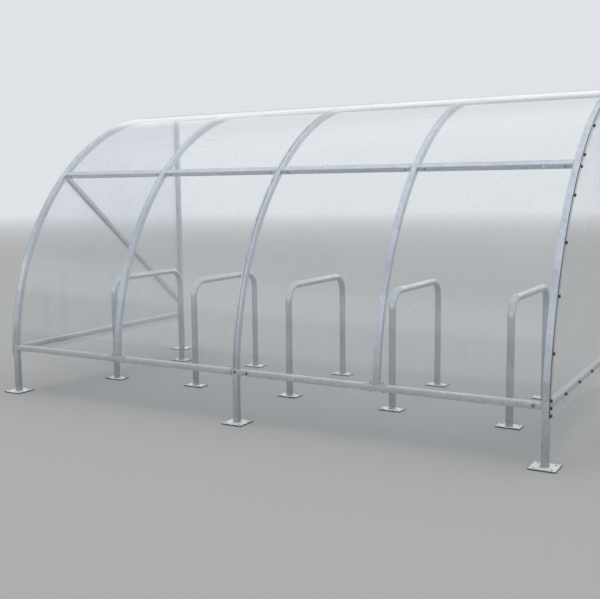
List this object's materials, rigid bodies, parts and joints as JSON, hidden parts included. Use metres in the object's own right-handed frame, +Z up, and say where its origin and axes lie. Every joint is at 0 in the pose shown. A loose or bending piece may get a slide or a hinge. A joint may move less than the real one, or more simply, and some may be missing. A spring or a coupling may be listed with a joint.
{
  "type": "bike shelter",
  "caption": "Open-fronted bike shelter: curved galvanised hoops with clear sheets over tubular hoop stands on bolted plates.",
  "frame": {"origin": "on the ground, under the middle of the posts", "axes": "+X along the shelter, -Y the closed curved side, +Y the open side, +Z up"},
  "size_m": [4.15, 2.2, 2.2017],
  "materials": {
    "galvanised_steel": "hot-dip galvanised, mottled",
    "galvanised_plate": "hot-dip galvanised, pale and matt",
    "galvanised_tube": "hot-dip galvanised, smooth",
    "clear_curved_sheet": "clear, glossy, lightly hazed",
    "clear_end_sheet": "clear, glossy"
  },
  "bodies": {
    "root": {"rib_1": "galvanised_steel", "rib_2": "galvanised_steel", "rib_3": "galvanised_steel", "rib_4": "galvanised_steel", "rib_5": "galvanised_steel", "front_post_left": "galvanised_steel", "front_post_right": "galvanised_steel", "low_rail_left": "galvanised_steel", "low_rail_right": "galvanised_steel", "end_rail_left": "galvanised_steel", "end_rail_right": "galvanised_steel", "front_rail": "galvanised_steel", "purlin_1": "galvanised_steel", "purlin_2": "galvanised_steel", "purlin_3": "galvanised_steel", "purlin_4": "galvanised_steel", "rib_flange_2": "galvanised_steel", "rib_flange_4": "galvanised_steel", "end_brace_left": "galvanised_steel", "foot_plate_rib_1": "galvanised_plate", "foot_plate_rib_3": "galvanised_plate", "foot_plate_rib_5": "galvanised_plate", "foot_plate_front_left": "galvanised_plate", "foot_plate_front_right": "galvanised_plate", "stand_1_plate_near": "galvanised_plate", "stand_1_plate_far": "galvanised_plate", "stand_2_plate_near": "galvanised_plate", "stand_2_plate_far": "galvanised_plate", "stand_3_plate_near": "galvanised_plate", "stand_3_plate_far": "galvanised_plate", "stand_4_plate_near": "galvanised_plate", "stand_4_plate_far": "galvanised_plate", "stand_5_plate_near": "galvanised_plate", "stand_5_plate_far": "galvanised_plate", "stand_1": "galvanised_tube", "stand_2": "galvanised_tube", "stand_3": "galvanised_tube", "stand_4": "galvanised_tube", "stand_5": "galvanised_tube", "curved_sheet_left": "clear_curved_sheet", "curved_sheet_right": "clear_curved_sheet", "end_sheet_left": "clear_end_sheet", "end_sheet_right": "clear_end_sheet"}
  },
  "joints": []
}
